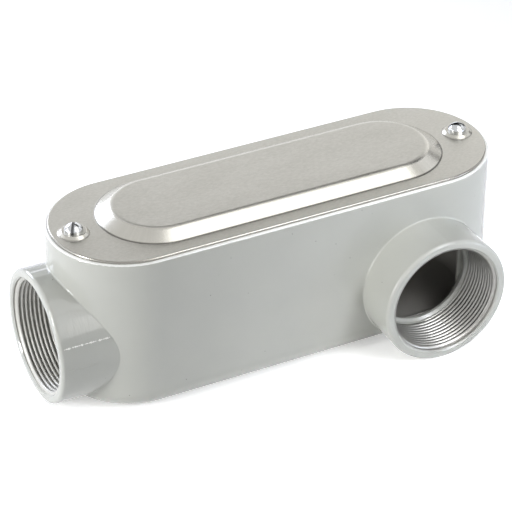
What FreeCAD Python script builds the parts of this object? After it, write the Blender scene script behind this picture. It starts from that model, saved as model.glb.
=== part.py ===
import FreeCAD, Part
import math
import os

V = FreeCAD.Vector

# Conduit body of the right-hand side-outlet form for 2 inch threaded conduit, in millimetres.
# It lies on its back: X along the length with the end hub on -X, side hub on -Y, cover on +Z.
# The origin is the middle of the back face.

# Hubs, with the tapped length and the integral bushing that both have
thread_root_radius = 30.0
thread_depth = 24.8
mouth_chamfer = 0.7
hub_wall = 4.6
hub_face_rounding = 1.8
bushing_radius = 25.8
bushing_length = 3.7
bushing_rounding = 1.2
end_hub_reach = 10.7
side_hub_inboard = 13.9
hub_back_gap = 0.1
hub_root_radius = 0.8

# Casting, whose width and height follow from the hubs
arc_spacing = 161.0
width_margin = 5.4
height_margin = 18.4
wall = 4.0
back_edge_radius = 12.8
rim_edge_radius = 1.1

# Bosses that take the cover screws
screw_inset = 12.5
screw_boss_radius = 6.0
screw_boss_depth = 19.0
screw_boss_taper = 4.0
tapped_hole_depth = 15.0

# Gasket
gasket_thickness = 0.5
gasket_width = 4.4
gasket_side_clearance = 0.2
gasket_lobe_radius = 6.4

# Stamped cover
sheet = 0.9
cover_inset = 1.5
cover_edge_radius = 0.7
flange_width = 8.0
flange_to_dimple = 5.4
panel_side_slope = 7.0
panel_end_slope = 8.25
panel_rise = 4.9
panel_shoulder_radius = 4.5
panel_root_radius = 0.8
dimple_base_radius = 8.0
dimple_slope = 1.8
dimple_rise = 1.5
dimple_shoulder_radius = 0.7
dimple_inner_shoulder_radius = 0.35
dimple_root_radius = 0.8

# Slotted round-head cover screws
screw_shank_radius = 2.4
screw_length = 12.7
screw_tip_chamfer = 0.7
screw_head_radius = 4.6
screw_head_height = 3.8
screw_head_side = 1.2
screw_head_edge_radius = 0.5
screw_slot_width = 1.3
screw_slot_depth = 2.0
left_slot_angle = 59.0
right_slot_angle = -22.0
tapped_hole_clearance = 0.1
cover_hole_clearance = 0.4

# How far a cut runs on past the face that it opens, and how near counts as touching
cut_overrun = 1.0
match_tolerance = 1e-3

# Sizes and places that follow from those above
hub_outer_radius = thread_root_radius + hub_wall
hub_axis_height = hub_outer_radius + hub_back_gap
hub_length = thread_depth + bushing_length
side_hub_reach = hub_length - wall
body_radius = hub_outer_radius + width_margin
rim_height = hub_axis_height + hub_outer_radius + height_margin
cavity_radius = body_radius - wall
end_apex_x = arc_spacing / 2 + body_radius
end_hub_face_x = -end_apex_x - end_hub_reach
side_hub_x = arc_spacing / 2 - side_hub_inboard
side_hub_face_y = -body_radius - side_hub_reach
screw_x = end_apex_x - screw_inset
gasket_top = rim_height + gasket_thickness
cover_top = gasket_top + sheet
cover_radius = body_radius - cover_inset
panel_base_radius = cover_radius - flange_width
panel_top_radius = panel_base_radius - panel_side_slope
panel_base_end = screw_x - dimple_base_radius - flange_to_dimple
panel_base_spacing = 2 * (panel_base_end - panel_base_radius)
panel_top_spacing = 2 * (panel_base_end - panel_end_slope - panel_top_radius)
dimple_top_radius = dimple_base_radius - dimple_slope
screw_seat = cover_top + dimple_rise
screw_places = {
    "left_cover_screw": (-screw_x, left_slot_angle),
    "right_cover_screw": (screw_x, right_slot_angle),
}


def obround_wire(spacing, radius, z):
    """Closed outline of two half circles joined by straight sides, centred on the origin."""
    half = spacing / 2
    corners = [V(-half, -radius, z), V(half, -radius, z), V(half, radius, z), V(-half, radius, z)]
    return Part.Wire([
        Part.LineSegment(corners[0], corners[1]).toShape(),
        Part.Arc(corners[1], V(half + radius, 0, z), corners[2]).toShape(),
        Part.LineSegment(corners[2], corners[3]).toShape(),
        Part.Arc(corners[3], V(-half - radius, 0, z), corners[0]).toShape(),
    ])


def obround_prism(spacing, radius, low, high):
    """Upright solid with an obround plan."""
    return Part.Face(obround_wire(spacing, radius, low)).extrude(V(0, 0, high - low))


def edges_at_height(shape, z):
    """Edges that lie wholly at one height."""
    found = []
    for edge in shape.Edges:
        box = edge.BoundBox
        if abs(box.ZMin - z) < match_tolerance and abs(box.ZMax - z) < match_tolerance:
            found.append(edge)
    return found


def turned(profile, origin, direction):
    """Solid of revolution from (along, radius) points, with along measured in the direction."""
    points = [V(radius, 0, along) for along, radius in profile]
    wire = Part.makePolygon(points + [points[0]])
    solid = Part.Face(wire).revolve(V(0, 0, 0), V(0, 0, 1), 360)
    turn = FreeCAD.Rotation(V(0, 0, 1), direction)
    solid.Placement = FreeCAD.Placement(origin, turn)
    return solid


def hub_blank(face, direction, length):
    """Solid hub from its outer face inwards, with its outer edge rounded."""
    blank = Part.makeCylinder(hub_outer_radius, length, face, direction)
    rim = [e for e in blank.Edges if e.CenterOfMass.distanceToPoint(face) < match_tolerance]
    return blank.makeFillet(hub_face_rounding, rim)


def hub_waterway(face, direction):
    """What is bored out of a hub: chamfered mouth, tapped length and the bushing's throat."""
    mouth_radius = thread_root_radius + mouth_chamfer
    tapped = turned(
        [(-cut_overrun, 0), (-cut_overrun, mouth_radius + cut_overrun), (mouth_chamfer, thread_root_radius),
         (thread_depth, thread_root_radius), (thread_depth, 0)],
        face, direction)
    throat_end = hub_length + bushing_rounding
    flare = bushing_radius + bushing_rounding
    throat = turned(
        [(thread_depth - cut_overrun, 0), (thread_depth - cut_overrun, flare), (thread_depth, flare),
         (thread_depth + bushing_rounding, bushing_radius),
         (hub_length - bushing_rounding, bushing_radius),
         (hub_length, flare), (throat_end, flare), (throat_end, 0)],
        face, direction)
    return tapped.fuse(throat)


def screw_boss(x):
    """Boss under the rim that takes a cover screw, run back to the middle of the end wall."""
    side = math.copysign(1.0, x)
    low = rim_height - screw_boss_depth
    post = Part.makeCylinder(screw_boss_radius, screw_boss_depth, V(x, 0, low))
    reach = end_apex_x - wall / 2 - abs(x)
    web = Part.makeBox(reach, 2 * screw_boss_radius, screw_boss_depth)
    web.translate(V(min(x, x + side * reach), -screw_boss_radius, low))
    blank = post.fuse(web).removeSplitter()
    foot = edges_at_height(blank, low)
    inner_foot = [e for e in foot if abs(e.CenterOfMass.x) < abs(x)]
    return blank.makeChamfer(screw_boss_taper, inner_foot)


def make_body():
    """The casting: walls, two hubs with integral bushings, and two screw bosses."""
    end_face = V(end_hub_face_x, 0, hub_axis_height)
    side_face = V(side_hub_x, side_hub_face_y, hub_axis_height)
    end_way = V(1, 0, 0)
    side_way = V(0, 1, 0)

    shell = obround_prism(arc_spacing, body_radius, 0, rim_height)
    shell = shell.makeFillet(back_edge_radius, edges_at_height(shell, 0))
    outside = shell.fuse([
        hub_blank(end_face, end_way, end_hub_reach + body_radius),
        hub_blank(side_face, side_way, side_hub_reach + body_radius),
    ])
    outside = outside.makeFillet(hub_root_radius, hub_root_edges(outside))
    outside = outside.makeFillet(rim_edge_radius, edges_at_height(outside, rim_height))

    cavity = obround_prism(arc_spacing, cavity_radius, wall, rim_height + cut_overrun)
    cavity = cavity.makeFillet(back_edge_radius - wall, edges_at_height(cavity, wall))
    collar = Part.makeCylinder(hub_outer_radius, hub_length - wall, end_face + end_way * wall, end_way)
    bosses = [screw_boss(x) for x, _ in screw_places.values()]
    casting = outside.cut(cavity).fuse([collar] + bosses)

    holes = [hub_waterway(end_face, end_way), hub_waterway(side_face, side_way)]
    hole_radius = screw_shank_radius + tapped_hole_clearance
    for x, _ in screw_places.values():
        low = rim_height - tapped_hole_depth
        holes.append(Part.makeCylinder(hole_radius, tapped_hole_depth + cut_overrun, V(x, 0, low)))
    return casting.cut(holes)


def lies_on_a_hub(point):
    """Whether a point is on the outer cylinder of either hub."""
    from_end = math.hypot(point.y, point.z - hub_axis_height)
    from_side = math.hypot(point.x - side_hub_x, point.z - hub_axis_height)
    on_end = abs(from_end - hub_outer_radius) < match_tolerance and point.x < -arc_spacing / 2
    on_side = abs(from_side - hub_outer_radius) < match_tolerance and point.y < 0
    return on_end or on_side


def hub_root_edges(outside):
    """Edges where the hubs leave the body, which the casting blends."""
    roots = []
    for edge in outside.Edges:
        ends_and_middle = edge.discretize(3)
        middle = edge.CenterOfMass
        near_body = middle.x > -end_apex_x and middle.y > -body_radius - match_tolerance
        is_seam = edge.Curve.TypeId == "Part::GeomLine"
        if near_body and not is_seam and all(lies_on_a_hub(point) for point in ends_and_middle):
            roots.append(edge)
    return roots


def make_gasket():
    """Flat ring between the rim and the cover, with a lobe round each screw."""
    outer = cover_radius - sheet - gasket_side_clearance
    ring = obround_prism(arc_spacing, outer, rim_height, gasket_top)
    opening = obround_prism(
        arc_spacing, outer - gasket_width, rim_height - cut_overrun, gasket_top + cut_overrun)
    lobes = []
    holes = []
    for x, _ in screw_places.values():
        low = V(x, 0, rim_height)
        lobes.append(Part.makeCylinder(gasket_lobe_radius, gasket_thickness, low))
        hole_radius = screw_shank_radius + cover_hole_clearance
        holes.append(Part.makeCylinder(hole_radius, gasket_thickness, low))
    return ring.cut(opening).fuse(lobes).cut(holes).removeSplitter()


def pressed_form(base, top, rise, shoulder, low):
    """Raised form with sloping sides between two outlines, its upper edge rounded."""
    form = Part.makeLoft([base(low), top(low + rise)], True, True)
    return form.makeFillet(shoulder, edges_at_height(form, low + rise))


def panel_form(setback, shoulder, low):
    """The long raised panel, drawn in by the setback for its underside."""
    return pressed_form(
        lambda z: obround_wire(panel_base_spacing, panel_base_radius - setback, z),
        lambda z: obround_wire(panel_top_spacing, panel_top_radius - setback, z),
        panel_rise, shoulder, low)


def dimple_form(x, setback, shoulder, low):
    """The round raised seat of one screw, drawn in by the setback for its underside."""
    return pressed_form(
        lambda z: Part.Wire(Part.makeCircle(dimple_base_radius - setback, V(x, 0, z))),
        lambda z: Part.Wire(Part.makeCircle(dimple_top_radius - setback, V(x, 0, z))),
        dimple_rise, shoulder, low)


def sheet_setback(run, rise):
    """How far the inner face of a bent sheet is drawn in from the outer one at each bend."""
    return sheet * math.tan(math.atan2(rise, run) / 2)


def bend_edges(shape, z):
    """Edges round the foot of the panel and of the dimples, at one height."""
    feet = []
    for edge in edges_at_height(shape, z):
        box = edge.BoundBox
        if max(abs(box.YMin), abs(box.YMax)) < panel_base_radius + match_tolerance:
            feet.append(edge)
    return feet


def dimple_edges(edges):
    """Those edges that are round a dimple, and not round the panel."""
    return [e for e in edges if abs(e.CenterOfMass.x) > panel_base_end]


def bent(sheet_form, z, panel_radius, dimple_radius):
    """The sheet with the feet of its raised forms rounded at one height."""
    round_dimples = dimple_edges(bend_edges(sheet_form, z))
    sheet_form = sheet_form.makeFillet(dimple_radius, round_dimples)
    feet = bend_edges(sheet_form, z)
    kept = dimple_edges(feet)
    return sheet_form.makeFillet(panel_radius, [e for e in feet if not any(e.isSame(k) for k in kept)])


def make_cover():
    """Stamped sheet cover: turned-down edge, raised panel, and a raised seat for each screw."""
    flange = obround_prism(arc_spacing, cover_radius, rim_height, cover_top)
    flange = flange.makeFillet(cover_edge_radius, edges_at_height(flange, cover_top))
    tray = obround_prism(arc_spacing, cover_radius - sheet, rim_height - cut_overrun, gasket_top)
    panel_setback = sheet_setback(panel_side_slope, panel_rise)
    dimple_setback = sheet_setback(dimple_slope, dimple_rise)
    raised = [panel_form(0, panel_shoulder_radius, cover_top)]
    hollows = [panel_form(panel_setback, panel_shoulder_radius - sheet, gasket_top)]
    holes = []
    for x, _ in screw_places.values():
        raised.append(dimple_form(x, 0, dimple_shoulder_radius, cover_top))
        hollows.append(dimple_form(x, dimple_setback, dimple_inner_shoulder_radius, gasket_top))
        hole_radius = screw_shank_radius + cover_hole_clearance
        holes.append(Part.makeCylinder(hole_radius, screw_seat, V(x, 0, 0)))
    outside = bent(flange.fuse(raised), cover_top, panel_root_radius, dimple_root_radius)
    pressed = outside.cut(tray).cut(hollows)
    pressed = bent(pressed, gasket_top, panel_root_radius + sheet, dimple_root_radius + sheet)
    return pressed.cut(holes)


def make_screw(x, slot_angle):
    """Slotted round-head machine screw seated on the cover: short straight side, domed crown."""
    seat = V(x, 0, screw_seat)
    dome_rise = screw_head_height - screw_head_side
    dome_radius = (screw_head_radius ** 2 + dome_rise ** 2) / (2 * dome_rise)
    dome = Part.makeSphere(dome_radius, seat + V(0, 0, screw_head_height - dome_radius))
    head = Part.makeCylinder(screw_head_radius, screw_head_height, seat).common(dome)
    head = head.makeFillet(screw_head_edge_radius, edges_at_height(head, screw_seat + screw_head_side))
    shank = Part.makeCylinder(screw_shank_radius, screw_length, seat, V(0, 0, -1))
    tip = edges_at_height(shank, screw_seat - screw_length)
    shank = shank.makeChamfer(screw_tip_chamfer, tip)
    slot_length = 2 * (screw_head_radius + cut_overrun)
    slot = Part.makeBox(slot_length, screw_slot_width, screw_slot_depth + cut_overrun)
    slot.translate(V(-slot_length / 2, -screw_slot_width / 2, -screw_slot_depth))
    slot.rotate(V(0, 0, 0), V(0, 0, 1), slot_angle)
    slot.translate(seat + V(0, 0, screw_head_height))
    return head.fuse(shank).cut(slot)


def write(name, shape):
    """Save one piece and print its volume and size."""
    solids = shape.Solids
    piece = solids[0] if len(solids) == 1 else shape
    piece.exportStep(os.path.join("parts", name + ".step"))
    box = piece.BoundBox
    print("%-18s solids %d valid %s volume %.1f size %.2f x %.2f x %.2f" % (
        name, len(solids), piece.isValid(), piece.Volume, box.XLength, box.YLength, box.ZLength))


os.makedirs("parts", exist_ok=True)
write("body", make_body())
write("gasket", make_gasket())
write("cover", make_cover())
for screw_name, (place_x, angle) in screw_places.items():
    write(screw_name, make_screw(place_x, angle))
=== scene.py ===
"""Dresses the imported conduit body: a painted casting with two tapped hubs under a pressed, screwed cover."""

import logging
import math
from dataclasses import dataclass
from enum import Enum
from typing import Any

import bpy
from bpy.types import Material, Node, NodeSocket, NodeTree, Object
from mathutils import Matrix, Vector


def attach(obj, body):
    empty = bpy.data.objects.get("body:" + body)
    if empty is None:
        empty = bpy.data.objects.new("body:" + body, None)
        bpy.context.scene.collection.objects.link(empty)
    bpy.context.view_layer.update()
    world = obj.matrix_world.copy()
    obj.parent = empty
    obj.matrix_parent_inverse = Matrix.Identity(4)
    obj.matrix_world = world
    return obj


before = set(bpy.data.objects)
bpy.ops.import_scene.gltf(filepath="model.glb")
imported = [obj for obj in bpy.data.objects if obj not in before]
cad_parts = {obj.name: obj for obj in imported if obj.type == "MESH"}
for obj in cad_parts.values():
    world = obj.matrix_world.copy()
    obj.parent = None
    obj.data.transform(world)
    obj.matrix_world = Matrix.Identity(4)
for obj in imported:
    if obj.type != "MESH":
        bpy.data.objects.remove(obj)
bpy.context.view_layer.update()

log = logging.getLogger("conduit_body")

MM = 0.001
# Watts for each square metre that make a lamp's own face show as white.
LAMP_WATTS = 4


class Slot(Enum):
    """The record's material slots."""

    PAINTED_CASTING = "painted_casting"
    STAMPED_ALUMINIUM = "stamped_aluminium"


def linear(hex_colour: str) -> tuple[float, float, float, float]:
    """Turns an sRGB hex colour into a linear one.

    Args:
        hex_colour: Six digits after a hash sign.

    Returns:
        Red, green, blue and an alpha of 1.
    """
    shares = (int(hex_colour[i : i + 2], 16) / 255 for i in (1, 3, 5))
    red, green, blue = (s / 12.92 if s <= 0.04045 else ((s + 0.055) / 1.055) ** 2.4 for s in shares)
    return red, green, blue, 1.0


def add(tree: NodeTree, kind: str, sockets: dict[Any, Any] | None = None, **settings: Any) -> Node:
    """Adds a node with its settings and links.

    Args:
        tree: The node tree.
        kind: The node's type.
        sockets: For each input, by name or number, a value or the output that feeds it.
        settings: The node's own properties.

    Returns:
        The new node.
    """
    node = tree.nodes.new(kind)
    for name, value in settings.items():
        setattr(node, name, value)
    for key, value in (sockets or {}).items():
        if isinstance(value, NodeSocket):
            tree.links.new(value, node.inputs[key])
        else:
            node.inputs[key].default_value = value
    return node


def new_material(name: str) -> tuple[Material, NodeTree]:
    """Makes an empty node material.

    Args:
        name: The finish's name.

    Returns:
        The material and its tree.
    """
    material = bpy.data.materials.new(name)
    material.use_nodes = True
    material.node_tree.nodes.clear()
    return material, material.node_tree


def surfaced(material: Material, colour: Any, metal: Any, rough: Any, normal: Any) -> Material:
    """Gives a material its surface. Each input is a value or the output that feeds it.

    Args:
        material: The material.
        colour: Its colour.
        metal: How far it looks like bare metal.
        rough: Its roughness.
        normal: Its relief.

    Returns:
        The same material.
    """
    sockets = {"Base Color": colour, "Metallic": metal, "Roughness": rough, "Normal": normal}
    shader = add(material.node_tree, "ShaderNodeBsdfPrincipled", sockets)
    add(material.node_tree, "ShaderNodeOutputMaterial", {"Surface": shader.outputs[0]})
    return material


def per_mm(size_mm: float) -> float:
    """Gives the texture scale, on Object coordinates in metres, of a pattern of this size."""
    return 1 / (size_mm * MM)


@dataclass(frozen=True)
class HubPlace:
    """Where a hub's thread lies.

    Args:
        name: The hub's name.
        face: The middle of the hub's face, in metres.
        inward: The direction from the face into the casting.
        start_angle: Where the thread starts, in degrees about the hub's axis.
    """

    name: str
    face: tuple[float, float, float]
    inward: tuple[float, float, float]
    start_angle: float

    def matrix(self) -> Matrix:
        """Gives the matrix that puts the Z axis along the hub, from its face inwards."""
        z = Vector(self.inward)
        x = Vector((0, 0, 1)).cross(z).normalized()
        turn = Matrix((x, z.cross(x), z)).transposed().to_4x4()
        return Matrix.Translation(self.face) @ turn @ Matrix.Rotation(math.radians(self.start_angle), 4, "Z")


class Hub(Enum):
    """The casting's two hubs."""

    END = HubPlace("end_hub", (-0.1312, 0.0, 0.0347), (1.0, 0.0, 0.0), 40.0)
    SIDE = HubPlace("side_hub", (0.0666, -0.0645, 0.0347), (0.0, 1.0, 0.0), 200.0)


@dataclass(frozen=True)
class GreyPowderCoat:
    """Light grey polyester powder coat, sprayed and baked on a sand-blasted casting.

    It flows out smooth and glossy with a faint orange peel. A painted highlight makes it paler on the rim's
    rounded edge, a white line round the cover. The trough's inside carries painted shade, a darker tone, and
    the tapped bores are bare metal.
    """

    colour: str = "#BABBB4"
    pooled: str = "#B3B4AE"
    # The bead colour is a painted highlight that whitens the rim's rounded edge into a white line.
    bead: str = "#F6F6F2"
    # The inside colour is a painted shade on the trough's inner walls and floor.
    inside: str = "#85837E"
    arc_centre_x: float = 80.5 * MM
    cavity_radius: float = 36.2 * MM
    cavity_floor: float = 3.9 * MM
    rim_height: float = 87.7 * MM
    rim_radius: float = 1.1 * MM
    fleck: str = "#6E6C68"
    roughness: float = 0.09
    bare_roughness: float = 0.45
    coat_mm: float = 22.0
    rim_highlight_start: float = 0.65
    rim_highlight_full: float = 0.4
    # A pixel shows about 0.5 mm. Peel of 1 to 2 mm would hardly show at that size, so it is drawn at 2.4 mm.
    peel_mm: float = 2.4
    peel_height: float = 0.004 * MM
    wave_mm: float = 16.0
    wave_height: float = 0.05 * MM
    wave_stretch: tuple[float, float, float] = (1.0, 1.0, 0.25)
    ripple_mm: float = 1.3
    ripple_height: float = 0.1 * MM
    ripple_stretch: tuple[float, float, float] = (1.0, 0.3, 0.12)
    patches: tuple[tuple[tuple[float, float, float], float], ...] = (
        ((-0.118, -0.030, 0.052), 1.0), ((-0.094, -0.0375, 0.047), 0.6)
    )
    patch_radius: float = 17.0 * MM
    patch_core: float = 0.4
    # Dust in real paint is near 0.1 mm, finer than a pixel, so each fleck is drawn 0.5 mm across.
    fleck_mm: float = 7.0
    fleck_share: float = 0.035
    bore_radius: float = 30.9 * MM
    bore_start: float = 0.8 * MM
    bore_depth: float = 24.6 * MM
    bare: str = "#A9A8A3"
    bare_metal: float = 0.5

    def bored(self, tree: NodeTree, place: HubPlace, where: NodeSocket) -> NodeSocket:
        """Masks the bore that the tap left bare.

        Args:
            tree: The material's tree.
            place: The hub.
            where: Object coordinates.

        Returns:
            1 inside the hub's tapped bore and 0 elsewhere.
        """
        from_face = add(tree, "ShaderNodeVectorMath", {0: where, 1: place.face}, operation="SUBTRACT")
        depth = add(
            tree, "ShaderNodeVectorMath", {0: from_face.outputs[0], 1: place.inward}, operation="DOT_PRODUCT"
        )
        along = add(
            tree,
            "ShaderNodeVectorMath",
            {0: place.inward, "Scale": depth.outputs["Value"]},
            operation="SCALE",
        )
        across = add(
            tree, "ShaderNodeVectorMath", {0: from_face.outputs[0], 1: along.outputs[0]}, operation="DISTANCE"
        )
        near = add(
            tree, "ShaderNodeMath", {0: across.outputs["Value"], 1: self.bore_radius}, operation="LESS_THAN"
        )
        begun = add(
            tree, "ShaderNodeMath", {0: depth.outputs["Value"], 1: self.bore_start}, operation="GREATER_THAN"
        )
        ended = add(
            tree, "ShaderNodeMath", {0: depth.outputs["Value"], 1: self.bore_depth}, operation="LESS_THAN"
        )
        inside = add(tree, "ShaderNodeMath", {0: near.outputs[0], 1: begun.outputs[0]}, operation="MULTIPLY")
        return add(
            tree, "ShaderNodeMath", {0: inside.outputs[0], 1: ended.outputs[0]}, operation="MULTIPLY"
        ).outputs[0]

    def enclosed(self, tree: NodeTree, where: NodeSocket) -> NodeSocket:
        """Masks the inside of the trough, which gets a painted shade, a darker tone.

        Args:
            tree: The material's tree.
            where: Object coordinates.

        Returns:
            1 on the trough's inner walls and floor and 0 elsewhere.
        """
        parts = add(tree, "ShaderNodeSeparateXYZ", {0: where})
        centre = add(
            tree,
            "ShaderNodeClamp",
            {"Value": parts.outputs["X"], "Min": -self.arc_centre_x, "Max": self.arc_centre_x},
        )
        beyond = add(
            tree, "ShaderNodeMath", {0: parts.outputs["X"], 1: centre.outputs[0]}, operation="SUBTRACT"
        )
        plan = add(tree, "ShaderNodeCombineXYZ", {"X": beyond.outputs[0], "Y": parts.outputs["Y"]})
        out = add(tree, "ShaderNodeVectorMath", {0: plan.outputs[0]}, operation="LENGTH")
        near = add(
            tree, "ShaderNodeMath", {0: out.outputs["Value"], 1: self.cavity_radius}, operation="LESS_THAN"
        )
        above = add(
            tree, "ShaderNodeMath", {0: parts.outputs["Z"], 1: self.cavity_floor}, operation="GREATER_THAN"
        )
        return add(
            tree, "ShaderNodeMath", {0: near.outputs[0], 1: above.outputs[0]}, operation="MULTIPLY"
        ).outputs[0]

    def make(self) -> Material:
        """Builds the finish."""
        material, tree = new_material("grey_powder_coat")
        where = add(tree, "ShaderNodeTexCoord").outputs["Object"]
        thickness = add(
            tree, "ShaderNodeTexNoise", {"Vector": where, "Scale": per_mm(self.coat_mm), "Detail": 3.0}
        )
        coat = add(
            tree,
            "ShaderNodeMix",
            {0: thickness.outputs["Fac"], 6: linear(self.pooled), 7: linear(self.colour)},
            data_type="RGBA",
        )
        grit = add(
            tree, "ShaderNodeTexVoronoi", {"Vector": where, "Scale": per_mm(self.fleck_mm)}, feature="F1"
        )
        speck = add(
            tree, "ShaderNodeMath", {0: grit.outputs["Distance"], 1: self.fleck_share}, operation="LESS_THAN"
        )
        flecked = add(
            tree,
            "ShaderNodeMix",
            {0: speck.outputs[0], 6: coat.outputs[2], 7: linear(self.fleck)},
            data_type="RGBA",
        )
        height = add(tree, "ShaderNodeSeparateXYZ", {0: where}).outputs["Z"]
        # Painted highlight: the rim's rounded edge turns to the bead colour.
        edge = add(
            tree,
            "ShaderNodeMapRange",
            {
                "Value": height,
                "From Min": self.rim_height - self.rim_highlight_start * self.rim_radius,
                "From Max": self.rim_height - self.rim_highlight_full * self.rim_radius,
            },
        )
        rim_highlighted = add(
            tree,
            "ShaderNodeMix",
            {0: edge.outputs[0], 6: flecked.outputs[2], 7: linear(self.bead)},
            data_type="RGBA",
        )
        # Painted shade: the trough's inside takes the darker inside colour.
        inside_shade_mask = self.enclosed(tree, where)
        lined = add(
            tree, "ShaderNodeMix", {0: inside_shade_mask, 6: rim_highlighted.outputs[2], 7: linear(self.inside)}, data_type="RGBA"
        )
        bores = [self.bored(tree, hub.value, where) for hub in Hub]
        bare = add(tree, "ShaderNodeMath", {0: bores[0], 1: bores[1]}, operation="MAXIMUM").outputs[0]
        surface = add(
            tree, "ShaderNodeMix", {0: bare, 6: lined.outputs[2], 7: linear(self.bare)}, data_type="RGBA"
        )
        rough = add(
            tree,
            "ShaderNodeMapRange",
            {"Value": bare, "To Min": self.roughness, "To Max": self.bare_roughness},
        )
        peel = add(
            tree, "ShaderNodeTexNoise", {"Vector": where, "Scale": per_mm(self.peel_mm), "Detail": 1.0}
        )
        stretched = add(tree, "ShaderNodeMapping", {"Vector": where, "Scale": self.wave_stretch})
        wave = add(
            tree,
            "ShaderNodeTexNoise",
            {"Vector": stretched.outputs[0], "Scale": per_mm(self.wave_mm), "Detail": 0.0},
        )
        combed = add(tree, "ShaderNodeMapping", {"Vector": where, "Scale": self.ripple_stretch})
        comb = add(
            tree,
            "ShaderNodeTexNoise",
            {"Vector": combed.outputs[0], "Scale": per_mm(self.ripple_mm), "Detail": 1.0},
        )
        reaches = []
        for patch, depth in self.patches:
            away = add(tree, "ShaderNodeVectorMath", {0: where, 1: patch}, operation="DISTANCE")
            reach = add(
                tree,
                "ShaderNodeMapRange",
                {
                    "Value": away.outputs["Value"],
                    "From Min": self.patch_radius,
                    "From Max": self.patch_core * self.patch_radius,
                    "To Max": depth,
                },
            )
            reaches.append(reach.outputs[0])
        left = add(tree, "ShaderNodeMath", {0: reaches[0], 1: reaches[1]}, operation="MAXIMUM")
        ripple = add(
            tree, "ShaderNodeMath", {0: comb.outputs["Fac"], 1: left.outputs[0]}, operation="MULTIPLY"
        )
        low = add(
            tree,
            "ShaderNodeBump",
            {"Height": wave.outputs["Fac"], "Strength": 1.0, "Distance": self.wave_height},
        )
        middle = add(
            tree,
            "ShaderNodeBump",
            {
                "Height": ripple.outputs[0],
                "Strength": 1.0,
                "Distance": self.ripple_height,
                "Normal": low.outputs[0],
            },
        )
        high = add(
            tree,
            "ShaderNodeBump",
            {
                "Height": peel.outputs["Fac"],
                "Strength": 1.0,
                "Distance": self.peel_height,
                "Normal": middle.outputs[0],
            },
        )
        metal = add(tree, "ShaderNodeMath", {0: bare, 1: self.bare_metal}, operation="MULTIPLY")
        return surfaced(material, surface.outputs[2], metal.outputs[0], rough.outputs[0], high.outputs[0])


@dataclass(frozen=True)
class MachinedAluminium:
    """Cast aluminium cut by a tap, or torn where the mould parted.

    The tool leaves bright flanks with a fine grain, so the ridges glint and the grooves between stay dark.
    Overspray dulls it: the less of it is left bare, the less it looks like metal.

    Args:
        name: The finish's name.
        colour: Its colour.
        shade: Its darker tone.
        roughness: Its mean roughness.
        bare_share: The share of it that no overspray covers.
    """

    name: str = "machined_aluminium"
    colour: str = "#B2B1AD"
    shade: str = "#94938F"
    roughness: float = 0.36
    bare_share: float = 0.9
    chatter_mm: float = 3.0
    smoother: float = 0.08
    rougher: float = 0.12
    # Tool marks are near 0.1 mm, finer than a pixel, so they are drawn at 0.5 mm.
    grain_mm: float = 0.5
    grain_height: float = 0.02 * MM
    grain_strength: float = 0.6

    def make(self) -> Material:
        """Builds the finish."""
        material, tree = new_material(self.name)
        where = add(tree, "ShaderNodeTexCoord").outputs["Object"]
        chatter = add(
            tree, "ShaderNodeTexNoise", {"Vector": where, "Scale": per_mm(self.chatter_mm), "Detail": 4.0}
        )
        tone = add(
            tree,
            "ShaderNodeMix",
            {0: chatter.outputs["Fac"], 6: linear(self.shade), 7: linear(self.colour)},
            data_type="RGBA",
        )
        rough = add(
            tree,
            "ShaderNodeMapRange",
            {
                "Value": chatter.outputs["Fac"],
                "To Min": self.roughness - self.smoother,
                "To Max": self.roughness + self.rougher,
            },
        )
        grain = add(
            tree, "ShaderNodeTexNoise", {"Vector": where, "Scale": per_mm(self.grain_mm), "Detail": 2.0}
        )
        bump = add(
            tree,
            "ShaderNodeBump",
            {"Height": grain.outputs["Fac"], "Strength": self.grain_strength, "Distance": self.grain_height},
        )
        return surfaced(material, tone.outputs[2], self.bare_share, rough.outputs[0], bump.outputs[0])


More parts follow.
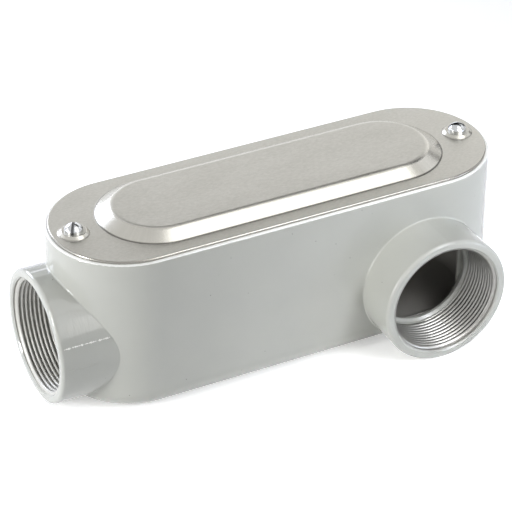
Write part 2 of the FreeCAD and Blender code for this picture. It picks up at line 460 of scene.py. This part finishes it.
@dataclass(frozen=True)
class RolledAluminium:
    """Mill-finished aluminium sheet, blanked and pressed.

    The flats keep the rolls' satin grain. The die has drawn the slopes, which are brighter, carry faint
    streaks that run down the slope, and end at the foot in a crease drawn with a painted shade, a dark line.
    The turned-down edge is sheared; its darker tone is partly the dull cut metal and partly painted shade.
    """

    colour: str = "#C6C4BD"
    dull: str = "#A9A79F"
    flat_roughness: float = 0.36
    drawn_roughness: float = 0.25
    roughness_spread: float = 0.05
    # Roll lines and drawn streaks are near 0.1 mm, finer than a pixel, so they are drawn at 0.9 and 1.1 mm.
    grain_mm: float = 0.9
    roll_stretch: tuple[float, float, float] = (0.45, 1.0, 1.0)
    cloud_mm: float = 16.0
    cloud_share: float = 0.35
    dullest: float = 0.25
    brightest: float = 0.75
    mark_height: float = 0.009 * MM
    flat_upright: float = 0.995
    drawn_upright: float = 0.93
    streak_mm: float = 1.1
    streak_share: float = 0.3
    streak_fall: float = 0.06
    panel_centre_x: float = 62.85 * MM
    panel_radius: float = 27.0 * MM
    # The crease colour is a painted shade in a thin band at the slopes' foot.
    painted_crease_shade: str = "#4C4A46"
    crease_height: float = 0.6 * MM
    crease_full: float = 0.3
    crease_fade: float = 1.0 * MM
    foot_lift: float = 0.02 * MM
    sheet_top: float = 89.1 * MM
    # The sheared colour is partly the dull cut metal and partly a painted shade of the gap under the edge.
    sheared_and_shade: str = "#95938D"
    sheared_drop: float = 0.05 * MM
    panel_end_x: float = 95.0 * MM
    dimple_crease_shade: float = 0.4

    def make(self) -> Material:
        """Builds the finish."""
        material, tree = new_material("rolled_aluminium")
        coordinates = add(tree, "ShaderNodeTexCoord")
        where = coordinates.outputs["Object"]
        parts = add(tree, "ShaderNodeSeparateXYZ", {0: where})
        facing = add(tree, "ShaderNodeSeparateXYZ", {0: coordinates.outputs["Normal"]})
        upright = add(tree, "ShaderNodeMath", {0: facing.outputs["Z"]}, operation="ABSOLUTE")
        drawn = add(
            tree,
            "ShaderNodeMapRange",
            {"Value": upright.outputs[0], "From Min": self.flat_upright, "From Max": self.drawn_upright},
            interpolation_type="SMOOTHSTEP",
        ).outputs[0]
        rolled = add(tree, "ShaderNodeMapping", {"Vector": where, "Scale": self.roll_stretch})
        grain = add(
            tree,
            "ShaderNodeTexNoise",
            {"Vector": rolled.outputs[0], "Scale": per_mm(self.grain_mm), "Detail": 3.0, "Roughness": 0.7},
        )
        cloud = add(
            tree,
            "ShaderNodeTexNoise",
            {"Vector": rolled.outputs[0], "Scale": per_mm(self.cloud_mm), "Detail": 4.0},
        )
        centre = add(
            tree,
            "ShaderNodeClamp",
            {"Value": parts.outputs["X"], "Min": -self.panel_centre_x, "Max": self.panel_centre_x},
        )
        beyond = add(
            tree, "ShaderNodeMath", {0: parts.outputs["X"], 1: centre.outputs[0]}, operation="SUBTRACT"
        )
        angle = add(
            tree, "ShaderNodeMath", {0: parts.outputs["Y"], 1: beyond.outputs[0]}, operation="ARCTAN2"
        )
        arc = add(tree, "ShaderNodeMath", {0: angle.outputs[0], 1: self.panel_radius}, operation="MULTIPLY")
        down = add(tree, "ShaderNodeMath", {0: parts.outputs["Z"], 1: self.streak_fall}, operation="MULTIPLY")
        lined = add(
            tree, "ShaderNodeCombineXYZ", {"X": centre.outputs[0], "Y": arc.outputs[0], "Z": down.outputs[0]}
        )
        streak = add(
            tree,
            "ShaderNodeTexNoise",
            {"Vector": lined.outputs[0], "Scale": per_mm(self.streak_mm), "Detail": 3.0},
        )
        faint = add(
            tree,
            "ShaderNodeMapRange",
            {
                "Value": streak.outputs["Fac"],
                "To Min": 0.5 - 0.5 * self.streak_share,
                "To Max": 0.5 + 0.5 * self.streak_share,
            },
        )
        marks = add(
            tree, "ShaderNodeMix", {0: drawn, 2: grain.outputs["Fac"], 3: faint.outputs[0]}, data_type="FLOAT"
        )
        worn = add(
            tree,
            "ShaderNodeMix",
            {0: self.cloud_share, 2: marks.outputs[0], 3: cloud.outputs["Fac"]},
            data_type="FLOAT",
        )
        spread_tone = add(
            tree,
            "ShaderNodeMapRange",
            {"Value": worn.outputs[0], "From Min": self.dullest, "From Max": self.brightest},
        )
        tone = add(
            tree,
            "ShaderNodeMix",
            {0: spread_tone.outputs[0], 6: linear(self.dull), 7: linear(self.colour)},
            data_type="RGBA",
        )
        # Painted shade along the slopes' foot, fainter round the dimples.
        above = add(
            tree,
            "ShaderNodeMapRange",
            {
                "Value": parts.outputs["Z"],
                "From Min": self.sheet_top + self.crease_height,
                "From Max": self.sheet_top + self.crease_full * self.crease_height,
            },
        )
        raised = add(
            tree,
            "ShaderNodeMath",
            {0: parts.outputs["Z"], 1: self.sheet_top + self.foot_lift},
            operation="GREATER_THAN",
        )
        low_slope = add(
            tree, "ShaderNodeMath", {0: above.outputs[0], 1: raised.outputs[0]}, operation="MULTIPLY"
        )
        along = add(tree, "ShaderNodeMath", {0: parts.outputs["X"]}, operation="ABSOLUTE")
        on_panel = add(
            tree,
            "ShaderNodeMapRange",
            {
                "Value": along.outputs[0],
                "From Min": self.panel_end_x,
                "From Max": self.panel_end_x + self.crease_fade,
                "To Min": 1.0,
                "To Max": self.dimple_crease_shade,
            },
        )
        foot = add(
            tree, "ShaderNodeMath", {0: low_slope.outputs[0], 1: on_panel.outputs[0]}, operation="MULTIPLY"
        )
        crease_shade_mask = add(tree, "ShaderNodeMath", {0: foot.outputs[0], 1: drawn}, operation="MULTIPLY")
        toned = add(
            tree,
            "ShaderNodeMix",
            {0: crease_shade_mask.outputs[0], 6: tone.outputs[2], 7: linear(self.painted_crease_shade)},
            data_type="RGBA",
        )
        # The turned-down edge takes the sheared colour: dull cut metal and painted shade of the gap.
        below = add(
            tree,
            "ShaderNodeMath",
            {0: parts.outputs["Z"], 1: self.sheet_top - self.sheared_drop},
            operation="LESS_THAN",
        )
        edge = add(tree, "ShaderNodeMath", {0: below.outputs[0], 1: drawn}, operation="MULTIPLY")
        edged = add(
            tree,
            "ShaderNodeMix",
            {0: edge.outputs[0], 6: toned.outputs[2], 7: linear(self.sheared_and_shade)},
            data_type="RGBA",
        )
        base_rough = add(
            tree,
            "ShaderNodeMapRange",
            {"Value": drawn, "To Min": self.flat_roughness, "To Max": self.drawn_roughness},
        )
        spread = add(
            tree,
            "ShaderNodeMapRange",
            {
                "Value": cloud.outputs["Fac"],
                "To Min": -self.roughness_spread,
                "To Max": self.roughness_spread,
            },
        )
        rough = add(tree, "ShaderNodeMath", {0: base_rough.outputs[0], 1: spread.outputs[0]}, operation="ADD")
        bump = add(
            tree,
            "ShaderNodeBump",
            {"Height": marks.outputs[0], "Strength": 1.0, "Distance": self.mark_height},
        )
        return surfaced(material, edged.outputs[2], 1.0, rough.outputs[0], bump.outputs[0])


@dataclass(frozen=True)
class ZincPlate:
    """Clear-passivated zinc on a steel screw, barrel plated.

    It is nearly mirror bright, a little blue, with faint rub marks on the crown. The slot carries a painted
    shade, a darker tone.

    Args:
        name: The finish's name.
        centre_x: Where the screw's axis lies.
        slot_angle: The slot's direction, in degrees.
    """

    name: str
    centre_x: float
    slot_angle: float
    colour: str = "#D2D4D6"
    rubbed: str = "#B4B5B6"
    # The slot's colour is a painted shade.
    slot_shade: str = "#606163"
    slot_half_width: float = 0.67 * MM
    roughness: float = 0.12
    smoother: float = 0.05
    rougher: float = 0.1
    # Rubbed lines are near 0.1 mm, finer than a pixel, so they are drawn at 1.2 mm.
    rub_mm: float = 1.2
    rub_height: float = 0.02 * MM
    rub_strength: float = 0.5

    def make(self) -> Material:
        """Builds the finish."""
        material, tree = new_material(self.name)
        where = add(tree, "ShaderNodeTexCoord").outputs["Object"]
        turn = math.radians(self.slot_angle)
        from_axis = add(
            tree, "ShaderNodeVectorMath", {0: where, 1: (self.centre_x, 0.0, 0.0)}, operation="SUBTRACT"
        )
        aside = add(
            tree,
            "ShaderNodeVectorMath",
            {0: from_axis.outputs[0], 1: (-math.sin(turn), math.cos(turn), 0.0)},
            operation="DOT_PRODUCT",
        )
        off_slot = add(tree, "ShaderNodeMath", {0: aside.outputs["Value"]}, operation="ABSOLUTE")
        in_slot = add(
            tree, "ShaderNodeMath", {0: off_slot.outputs[0], 1: self.slot_half_width}, operation="LESS_THAN"
        )
        rub = add(tree, "ShaderNodeTexNoise", {"Vector": where, "Scale": per_mm(self.rub_mm), "Detail": 4.0})
        tone = add(
            tree,
            "ShaderNodeMix",
            {0: rub.outputs["Fac"], 6: linear(self.rubbed), 7: linear(self.colour)},
            data_type="RGBA",
        )
        # Painted shade: the slot takes the darker slot colour.
        slot_shaded = add(
            tree,
            "ShaderNodeMix",
            {0: in_slot.outputs[0], 6: tone.outputs[2], 7: linear(self.slot_shade)},
            data_type="RGBA",
        )
        rough = add(
            tree,
            "ShaderNodeMapRange",
            {
                "Value": rub.outputs["Fac"],
                "To Min": self.roughness - self.smoother,
                "To Max": self.roughness + self.rougher,
            },
        )
        bump = add(
            tree,
            "ShaderNodeBump",
            {"Height": rub.outputs["Fac"], "Strength": self.rub_strength, "Distance": self.rub_height},
        )
        return surfaced(material, slot_shaded.outputs[2], 1.0, rough.outputs[0], bump.outputs[0])


@dataclass(frozen=True)
class MouldedNeoprene:
    """Black neoprene sheet, die cut: matt, with a fine cloth mark from its moulding."""

    colour: str = "#2A2B2B"
    bloom: str = "#3C3C3B"
    roughness: float = 0.72
    # A cloth mark is near 0.3 mm, finer than a pixel, so it is drawn at 0.7 mm.
    cloth_mm: float = 0.7
    cloth_height: float = 0.03 * MM
    cloth_strength: float = 0.5

    def make(self) -> Material:
        """Builds the finish."""
        material, tree = new_material("moulded_neoprene")
        where = add(tree, "ShaderNodeTexCoord").outputs["Object"]
        cloth = add(
            tree, "ShaderNodeTexNoise", {"Vector": where, "Scale": per_mm(self.cloth_mm), "Detail": 3.0}
        )
        tone = add(
            tree,
            "ShaderNodeMix",
            {0: cloth.outputs["Fac"], 6: linear(self.colour), 7: linear(self.bloom)},
            data_type="RGBA",
        )
        bump = add(
            tree,
            "ShaderNodeBump",
            {"Height": cloth.outputs["Fac"], "Strength": self.cloth_strength, "Distance": self.cloth_height},
        )
        return surfaced(material, tone.outputs[2], 0.0, self.roughness, bump.outputs[0])


def named_inputs(tree: NodeTree, kinds: dict[str, str]) -> Node:
    """Gives a geometry tree its inputs and its one output.

    Args:
        tree: The geometry tree.
        kinds: For each input's name, the socket type.

    Returns:
        The group's input node.
    """
    for name, kind in kinds.items():
        tree.interface.new_socket(name, in_out="INPUT", socket_type=kind)
    tree.interface.new_socket("Geometry", in_out="OUTPUT", socket_type="NodeSocketGeometry")
    return tree.nodes.new("NodeGroupInput")


def finish_sweep(tree: NodeTree, swept: Node, finish: NodeSocket) -> None:
    """Ends a tree: smooths the sweep, makes it real and gives it its material.

    Args:
        tree: The tree.
        swept: The node that sweeps the mesh.
        finish: The socket that gives the material.
    """
    smooth = add(tree, "GeometryNodeSetShadeSmooth", {0: swept.outputs[0], "Shade Smooth": True})
    realised = add(tree, "GeometryNodeRealizeInstances", {0: smooth.outputs[0]})
    dressed = add(tree, "GeometryNodeSetMaterial", {0: realised.outputs[0], "Material": finish})
    add(tree, "NodeGroupOutput", {0: dressed.outputs[0]})


def grown(name: str, tree: NodeTree, values: dict[str, Any], place: Matrix) -> Object:
    """Runs a geometry tree and keeps its result as a plain mesh.

    Args:
        name: The new piece's name.
        tree: The geometry tree.
        values: For each named input, its value.
        place: Where the result goes, written into its mesh.

    Returns:
        The piece, at the origin.
    """
    seed = bpy.data.objects.new(name + "_seed", bpy.data.meshes.new(name + "_seed"))
    bpy.context.scene.collection.objects.link(seed)
    modifier = seed.modifiers.new("grow", "NODES")
    modifier.node_group = tree
    for item in tree.interface.items_tree:
        if item.in_out == "INPUT" and item.name in values:
            modifier[item.identifier] = values[item.name]
    depsgraph = bpy.context.evaluated_depsgraph_get()
    mesh = bpy.data.meshes.new_from_object(seed.evaluated_get(depsgraph), depsgraph=depsgraph)
    bpy.data.objects.remove(seed)
    mesh.name = name
    mesh.transform(place)
    piece = bpy.data.objects.new(name, mesh)
    bpy.context.scene.collection.objects.link(piece)
    return piece


@dataclass
class TappedThread:
    """The taper pipe thread cut in each hub, 11.5 turns to the inch.

    Args:
        finish: The thread's material.
        pitch: From ridge to ridge.
        start: Depth of the first ridge below the hub's face, on the mouth's chamfer.
        end: Depth of the last ridge.
        mouth_crest: Radius of the crests at the mouth.
        taper: How far the radius falls for each unit of depth.
        height: From crest to root.
        buried: How far the ridge's base runs into the wall, so that no gap shows.
        crest_flat: Width of the flat on the crest.
        half_angle: From the flank to the ridge's middle plane, in degrees.
        steps: Points in each turn.
        fade: The share of its run over which the ridge grows from the mouth.
        fade_start: Its first height, as a share of the whole.
    """

    finish: Material
    pitch: float = 2.209 * MM
    start: float = 0.9 * MM
    end: float = 25.6 * MM
    mouth_crest: float = 28.45 * MM
    taper: float = 1 / 32
    height: float = 1.75 * MM
    buried: float = 1.05 * MM
    crest_flat: float = 0.95 * MM
    half_angle: float = 30.0
    steps: int = 96
    fade: float = 0.05
    fade_start: float = 0.25

    def tree(self) -> NodeTree:
        """Builds the tree that winds one ridge along a tapering spiral."""
        tree = bpy.data.node_groups.new("tapped_thread", "GeometryNodeTree")
        real = "NodeSocketFloat"
        given = named_inputs(
            tree,
            {
                "Steps": "NodeSocketInt",
                "Turns": real,
                "First radius": real,
                "Last radius": real,
                "Length": real,
                "Ridge height": real,
                "Crest width": real,
                "Base width": real,
                "Fade": real,
                "Fade start": real,
                "Finish": "NodeSocketMaterial",
            },
        ).outputs
        spiral = add(
            tree,
            "GeometryNodeCurveSpiral",
            {
                "Resolution": given["Steps"],
                "Rotations": given["Turns"],
                "Start Radius": given["First radius"],
                "End Radius": given["Last radius"],
                "Height": given["Length"],
                "Reverse": True,
            },
        )
        upright = add(tree, "GeometryNodeSetCurveNormal", {"Curve": spiral.outputs[0]}, mode="Z_UP")
        ridge = add(
            tree,
            "GeometryNodeCurvePrimitiveQuadrilateral",
            {
                "Height": given["Ridge height"],
                "Bottom Width": given["Crest width"],
                "Top Width": given["Base width"],
                "Offset": 0.0,
            },
            mode="TRAPEZOID",
        )
        sunk = add(tree, "ShaderNodeMath", {0: given["Ridge height"], 1: -0.5}, operation="MULTIPLY")
        shift = add(tree, "ShaderNodeCombineXYZ", {"X": sunk.outputs[0]})
        seated = add(
            tree,
            "GeometryNodeTransform",
            {
                "Geometry": ridge.outputs[0],
                "Translation": shift.outputs[0],
                "Rotation": (0.0, 0.0, -math.pi / 2),
            },
        )
        along = add(tree, "GeometryNodeSplineParameter").outputs["Factor"]
        fade = add(
            tree,
            "ShaderNodeMapRange",
            {"Value": along, "From Max": given["Fade"], "To Min": given["Fade start"]},
        )
        swept = add(
            tree,
            "GeometryNodeCurveToMesh",
            {
                "Curve": upright.outputs[0],
                "Profile Curve": seated.outputs[0],
                "Scale": fade.outputs[0],
                "Fill Caps": True,
            },
        )
        finish_sweep(tree, swept, given["Finish"])
        return tree

    def build(self, tree: NodeTree, hub: Hub) -> Object:
        """Winds the thread into one hub.

        Args:
            tree: The thread's geometry tree.
            hub: The hub to tap.

        Returns:
            The thread's ridges.
        """
        place = hub.value
        length = self.end - self.start
        depth = self.height + self.buried
        first = self.mouth_crest + depth - self.start * self.taper
        values = {
            "Steps": self.steps,
            "Turns": length / self.pitch,
            "First radius": first,
            "Last radius": first - length * self.taper,
            "Length": length,
            "Ridge height": depth,
            "Crest width": self.crest_flat,
            "Base width": self.crest_flat + 2 * depth * math.tan(math.radians(self.half_angle)),
            "Fade": self.fade,
            "Fade start": self.fade_start,
            "Finish": self.finish,
        }
        shift = Matrix.Translation((0, 0, self.start))
        thread = grown(place.name + "_thread", tree, values, place.matrix() @ shift)
        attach(thread, "root")
        return thread


@dataclass
class PartingFlash:
    """A ragged ridge that the mould's joint left along the end hub.

    Args:
        name: The ridge's name.
        finish: Its material.
        slot: The record's slot for that material; not used.
        angle: How far above the hub's middle it runs, in degrees.
        start: Its distance from the hub's face, past the rounding.
        length: How far it runs.
        radius: Its widest radius.
        hub_radius: Radius of the hub's outside.
        ragged_scale: How fast its width changes along it, in steps for each metre.
        points: Points along it.
        sides: Points round it.
        calm: The noise at which it is thinnest.
        torn: The noise at which it is widest.
        thinnest: Its least width, as a share of the widest.
    """

    name: str
    finish: Material
    slot: Slot
    angle: float
    start: float
    length: float
    radius: float
    hub_radius: float = 34.6 * MM
    ragged_scale: float = 600.0
    points: int = 160
    sides: int = 10
    calm: float = 0.44
    torn: float = 0.6
    thinnest: float = 0.08

    def tree(self) -> NodeTree:
        """Builds the tree that sweeps a ragged bead along a straight line."""
        tree = bpy.data.node_groups.new(self.name, "GeometryNodeTree")
        real = "NodeSocketFloat"
        kinds = {
            "Points": "NodeSocketInt",
            "Sides": "NodeSocketInt",
            "End": "NodeSocketVector",
            "Radius": real,
        }
        kinds |= {"Ragged scale": real, "Calm": real, "Torn": real, "Thinnest": real}
        given = named_inputs(tree, kinds | {"Finish": "NodeSocketMaterial"}).outputs
        line = add(tree, "GeometryNodeCurvePrimitiveLine", {"End": given["End"]})
        fine = add(tree, "GeometryNodeResampleCurve", {"Curve": line.outputs[0], "Count": given["Points"]})
        where = add(tree, "GeometryNodeInputPosition").outputs[0]
        noise = add(
            tree,
            "ShaderNodeTexNoise",
            {"Vector": where, "Scale": given["Ragged scale"], "Detail": 3.0, "Roughness": 0.7},
        )
        width = add(
            tree,
            "ShaderNodeMapRange",
            {
                "Value": noise.outputs["Fac"],
                "From Min": given["Calm"],
                "From Max": given["Torn"],
                "To Min": given["Thinnest"],
            },
        )
        bead = add(
            tree,
            "GeometryNodeCurvePrimitiveCircle",
            {"Resolution": given["Sides"], "Radius": given["Radius"]},
        )
        swept = add(
            tree,
            "GeometryNodeCurveToMesh",
            {
                "Curve": fine.outputs[0],
                "Profile Curve": bead.outputs[0],
                "Scale": width.outputs[0],
                "Fill Caps": True,
            },
        )
        finish_sweep(tree, swept, given["Finish"])
        return tree

    def build(self) -> Object:
        """Lays the ridge along the end hub, on the side hub's side.

        Returns:
            The ridge.
        """
        face = Vector(Hub.END.value.face)
        turn = math.radians(self.angle)
        across, up = -self.hub_radius * math.cos(turn), self.hub_radius * math.sin(turn)
        foot = face + Vector((self.start, across, up))
        values = {
            "Points": self.points,
            "Sides": self.sides,
            "End": (self.length, 0.0, 0.0),
            "Radius": self.radius,
            "Ragged scale": self.ragged_scale,
            "Calm": self.calm,
            "Torn": self.torn,
            "Thinnest": self.thinnest,
            "Finish": self.finish,
        }
        ridge = grown(self.name, self.tree(), values, Matrix.Translation(foot))
        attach(ridge, "root")
        return ridge


@dataclass
class Casting:
    """The painted casting with its tapped hubs.

    Args:
        paint: The coat on its outside.
    """

    paint: Material

    def build(self) -> list[Object]:
        """Winds both threads and lays the mould's flash along the end hub.

        Returns:
            The new pieces.
        """
        cut_metal = MachinedAluminium().make()
        dusted_metal = MachinedAluminium("oversprayed_aluminium", "#D2D1CB", "#BCBBB5", 0.45, 0.3).make()
        # The flash's near-white colour is partly bare torn metal and partly a painted glint.
        torn_metal_and_glint = MachinedAluminium("torn_aluminium_and_glint", "#F6F5F2", "#DAD9D5", 0.3, 0.3).make()
        tree = TappedThread(cut_metal).tree()
        threads = [
            TappedThread(dusted_metal).build(tree, Hub.END), TappedThread(cut_metal).build(tree, Hub.SIDE)
        ]
        flash = PartingFlash(
            "end_hub_flash",
            torn_metal_and_glint,
            Slot.STAMPED_ALUMINIUM,
            angle=20.0,
            start=2.2 * MM,
            length=24.5 * MM,
            radius=0.6 * MM,
        )
        seam = PartingFlash(
            "end_hub_seam",
            self.paint,
            Slot.PAINTED_CASTING,
            angle=0.0,
            start=2.4 * MM,
            length=17.0 * MM,
            radius=0.24 * MM,
        )
        return threads + [flash.build(), seam.build()]

    def dress(self) -> None:
        """Paints the casting."""
        dress("body", self.paint)


@dataclass
class Cover:
    """The pressed cover, its gasket and its two screws."""

    screw_x: float = 108.0 * MM
    left_slot_angle: float = 59.0
    right_slot_angle: float = -22.0

    def dress(self) -> None:
        """Gives each piece its finish."""
        dress("cover", RolledAluminium().make())
        dress("gasket", MouldedNeoprene().make())
        dress("left_cover_screw", ZincPlate("left_zinc_plate", -self.screw_x, self.left_slot_angle).make())
        dress("right_cover_screw", ZincPlate("right_zinc_plate", self.screw_x, self.right_slot_angle).make())


def dress(node: str, material: Material) -> None:
    """Puts a finish on a CAD node.

    Args:
        node: The node's name.
        material: Its finish.
    """
    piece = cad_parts[node]
    for slot in piece.material_slots:
        slot.material = material
    if not piece.material_slots:
        piece.data.materials.append(material)
    log.info("dressed %s in %s", node, material.name)


@dataclass(frozen=True)
class Lamp:
    """A softbox.

    Args:
        name: The lamp's name.
        place: Its middle, in metres.
        aim: The point that it faces.
        size: Its width and height.
        level: Its brightness, where 1 is white.
        colour: Its colour.
        spread: The angle that its grid lets out, in degrees.
    """

    name: str
    place: tuple[float, float, float]
    aim: tuple[float, float, float]
    size: tuple[float, float]
    level: float
    colour: str = "#FFFFFF"
    spread: float = 180.0

    def build(self) -> None:
        """Hangs the lamp."""
        light = bpy.data.lights.new(self.name, "AREA")
        light.shape = "RECTANGLE"
        light.size, light.size_y = self.size
        light.energy = LAMP_WATTS * self.size[0] * self.size[1] * self.level
        light.color = linear(self.colour)[:3]
        light.spread = math.radians(self.spread)
        lamp = bpy.data.objects.new(self.name, light)
        lamp.location = self.place
        lamp.rotation_euler = (Vector(self.aim) - Vector(self.place)).to_track_quat("-Z", "Y").to_euler()
        lamp.visible_camera = False
        bpy.context.scene.collection.objects.link(lamp)


@dataclass(frozen=True)
class Flag:
    """A black card that only bright metal sees, as photographers hang to give it edges.

    Args:
        name: The card's name.
        place: Its middle, in metres.
        aim: The point that it faces.
        size: Its width and height.
        felt_tone: Its colour.
    """

    name: str
    place: tuple[float, float, float]
    aim: tuple[float, float, float]
    size: tuple[float, float]
    felt_tone: str = "#2C2C2C"

    def build(self) -> None:
        """Hangs the card."""
        material, tree = new_material(self.name)
        felt = add(tree, "ShaderNodeBsdfDiffuse", {"Color": linear(self.felt_tone)})
        add(tree, "ShaderNodeOutputMaterial", {"Surface": felt.outputs[0]})
        across, up = self.size[0] / 2, self.size[1] / 2
        mesh = bpy.data.meshes.new(self.name)
        mesh.from_pydata(
            [(-across, -up, 0), (across, -up, 0), (across, up, 0), (-across, up, 0)], [], [(0, 1, 2, 3)]
        )
        mesh.materials.append(material)
        place = Vector(self.place)
        turn = (Vector(self.aim) - place).to_track_quat("Z", "Y").to_matrix().to_4x4()
        mesh.transform(Matrix.Translation(place) @ turn)
        card = bpy.data.objects.new(self.name, mesh)
        card.visible_camera = card.visible_diffuse = card.visible_shadow = False
        bpy.context.scene.collection.objects.link(card)


@dataclass
class Studio:
    """The pale floor, the soft light and the camera at the photograph's angle."""

    azimuth: float = -0.47014319
    elevation: float = 0.57677680
    roll: float = 0.00128363
    distance: float = 1.22842
    target: tuple[float, float, float] = (-0.00885, 0.0, 0.0465)
    focal_pixels: float = 2407.21
    image_pixels: float = 512.0
    sensor_mm: float = 36.0
    floor_radius: float = 8.0
    floor_tone: str = "#F2F2F2"
    glow_near: float = 0.5
    glow_far: float = 2.0
    glow_least: float = 0.42
    glow_most: float = 0.95
    far_clip: float = 50.0
    room_level: float = 0.05
    lamps: tuple[Lamp, ...] = (
        Lamp("top_bank", (0.33, -0.30, 0.95), (0.2, -0.1, 0.05), (0.45, 0.62), 1.5),
        Lamp("front_high_bank", (0.14, -0.50, 0.78), (0.05, 0.0, 0.05), (0.60, 0.35), 0.6),
        Lamp("front_strip", (0.05, -0.47, 0.42), (-0.08, -0.03, 0.05), (0.12, 0.42), 1.4),
        Lamp("grid_softbox", (0.12, -0.40, 0.30), (0.07, -0.04, 0.05), (0.20, 0.20), 0.32, "#FFFCF4", 60.0),
        Lamp(
            "wide_grid_softbox", (0.25, -0.45, 0.40), (0.11, -0.04, 0.05), (0.25, 0.25), 0.72, "#F1F5FF", 50.0
        ),
        Lamp("low_right_softbox", (0.36, -0.27, 0.08), (0.09, -0.06, 0.03), (0.12, 0.12), 4.5, "#DCE8FF"),
        Lamp("left_edge_strip", (-0.85, -0.085, 0.26), (0.0, -0.05, 0.05), (0.11, 0.40), 30.0),
        Lamp("left_bank", (-1.0, 0.38, 0.42), (0.0, 0.05, 0.05), (0.80, 0.75), 1.15, "#F0F5FF"),
        Lamp("right_bank", (0.92, 0.08, 0.70), (0.0, 0.0, 0.05), (0.45, 0.45), 0.38, "#F1F5FF"),
        Lamp("back_low_strip", (0.22, 1.0, 0.36), (0.0, 0.0, 0.08), (0.90, 0.10), 2.0, "#F0F4FF"),
        Lamp("back_bank", (0.25, 0.85, 0.62), (0.0, 0.0, 0.08), (0.50, 0.35), 0.23),
        Lamp("back_left_bank", (-0.33, 0.95, 0.45), (-0.1, 0.0, 0.08), (0.45, 0.45), 7.5, "#E8EEFF"),
        Lamp("back_right_bank", (0.85, 0.72, 0.55), (0.1, 0.0, 0.08), (0.50, 0.50), 0.5),
    )
    flags: tuple[Flag, ...] = (
        Flag("back_flag", (0.45, 0.52, 0.95), (0.0, 0.0, 0.08), (1.2, 0.40)),
        Flag("right_flag", (0.95, 0.28, 0.36), (0.1, 0.0, 0.08), (0.16, 0.3)),
    )

    def build(self) -> None:
        """Builds the room."""
        self.add_camera()
        self.add_floor()
        self.add_world()
        for lamp in self.lamps:
            lamp.build()
        for flag in self.flags:
            flag.build()

    def add_camera(self) -> None:
        """Puts the camera where the photograph was taken from."""
        sin_az, cos_az = math.sin(self.azimuth), math.cos(self.azimuth)
        sin_el, cos_el = math.sin(self.elevation), math.cos(self.elevation)
        back = Vector((sin_az * cos_el, -cos_az * cos_el, sin_el))
        right = Vector((cos_az, sin_az, 0.0))
        turn = Matrix((right, back.cross(right), back)).transposed().to_4x4()
        data = bpy.data.cameras.new("camera")
        data.sensor_width = self.sensor_mm
        data.lens = self.focal_pixels / self.image_pixels * self.sensor_mm
        data.clip_end = self.far_clip
        camera = bpy.data.objects.new("camera", data)
        stand = Matrix.Translation(Vector(self.target) + back * self.distance)
        camera.matrix_world = stand @ turn @ Matrix.Rotation(self.roll, 4, "Z")
        bpy.context.scene.collection.objects.link(camera)
        bpy.context.scene.camera = camera

    def shown(self, tree: NodeTree) -> NodeSocket:
        """Tells the rays that show the background from those that light the object.

        Args:
            tree: A material's or the world's tree.

        Returns:
            1 for a camera, glossy or transmission ray, and 0 for the others.
        """
        rays = add(tree, "ShaderNodeLightPath").outputs
        either = add(
            tree, "ShaderNodeMath", {0: rays["Is Camera Ray"], 1: rays["Is Glossy Ray"]}, operation="MAXIMUM"
        )
        return add(
            tree,
            "ShaderNodeMath",
            {0: either.outputs[0], 1: rays["Is Transmission Ray"]},
            operation="MAXIMUM",
        ).outputs[0]

    def add_floor(self) -> None:
        """Lays the pale floor, which shows white and keeps the object's shadow."""
        material, tree = new_material("studio_floor")
        paper = add(tree, "ShaderNodeBsdfDiffuse", {"Color": linear(self.floor_tone)})
        where = add(tree, "ShaderNodeTexCoord").outputs["Object"]
        away = add(tree, "ShaderNodeVectorMath", {0: where}, operation="LENGTH").outputs["Value"]
        fill = add(
            tree,
            "ShaderNodeMapRange",
            {
                "Value": away,
                "From Min": self.glow_near,
                "From Max": self.glow_far,
                "To Min": self.glow_least,
                "To Max": self.glow_most,
            },
        )
        glow = add(tree, "ShaderNodeEmission", {"Color": linear("#FFFFFF"), "Strength": fill.outputs[0]})
        both = add(tree, "ShaderNodeAddShader", {0: paper.outputs[0], 1: glow.outputs[0]})
        chosen = add(
            tree, "ShaderNodeMixShader", {0: self.shown(tree), 1: paper.outputs[0], 2: both.outputs[0]}
        )
        add(tree, "ShaderNodeOutputMaterial", {"Surface": chosen.outputs[0]})
        mesh = bpy.data.meshes.new("studio_floor")
        side = self.floor_radius
        corners = [(-side, -side, 0.0), (side, -side, 0.0), (side, side, 0.0), (-side, side, 0.0)]
        mesh.from_pydata(corners, [], [(0, 1, 2, 3)])
        mesh.materials.append(material)
        floor = bpy.data.objects.new("studio_floor", mesh)
        bpy.context.scene.collection.objects.link(floor)

    def add_world(self) -> None:
        """Surrounds the object with an even white that lights it at a plain level."""
        world = bpy.data.worlds.new("studio_room")
        bpy.context.scene.world = world
        world.use_nodes = True
        tree = world.node_tree
        tree.nodes.clear()
        level = add(
            tree, "ShaderNodeMapRange", {"Value": self.shown(tree), "To Min": self.room_level, "To Max": 1.0}
        )
        sky = add(tree, "ShaderNodeBackground", {"Color": linear("#FFFFFF"), "Strength": level.outputs[0]})
        add(tree, "ShaderNodeOutputWorld", {"Surface": sky.outputs[0]})


def main() -> None:
    """Builds the object's pieces in order, then the studio."""
    logging.basicConfig(level=logging.INFO, format="%(message)s")
    casting = Casting(GreyPowderCoat().make())
    for piece in casting.build():
        log.info("built %s: %d faces", piece.name, len(piece.data.polygons))
    casting.dress()
    Cover().dress()
    Studio().build()
    view = bpy.context.scene.view_settings
    view.view_transform = "Standard"


if __name__ == "__main__":
    main()
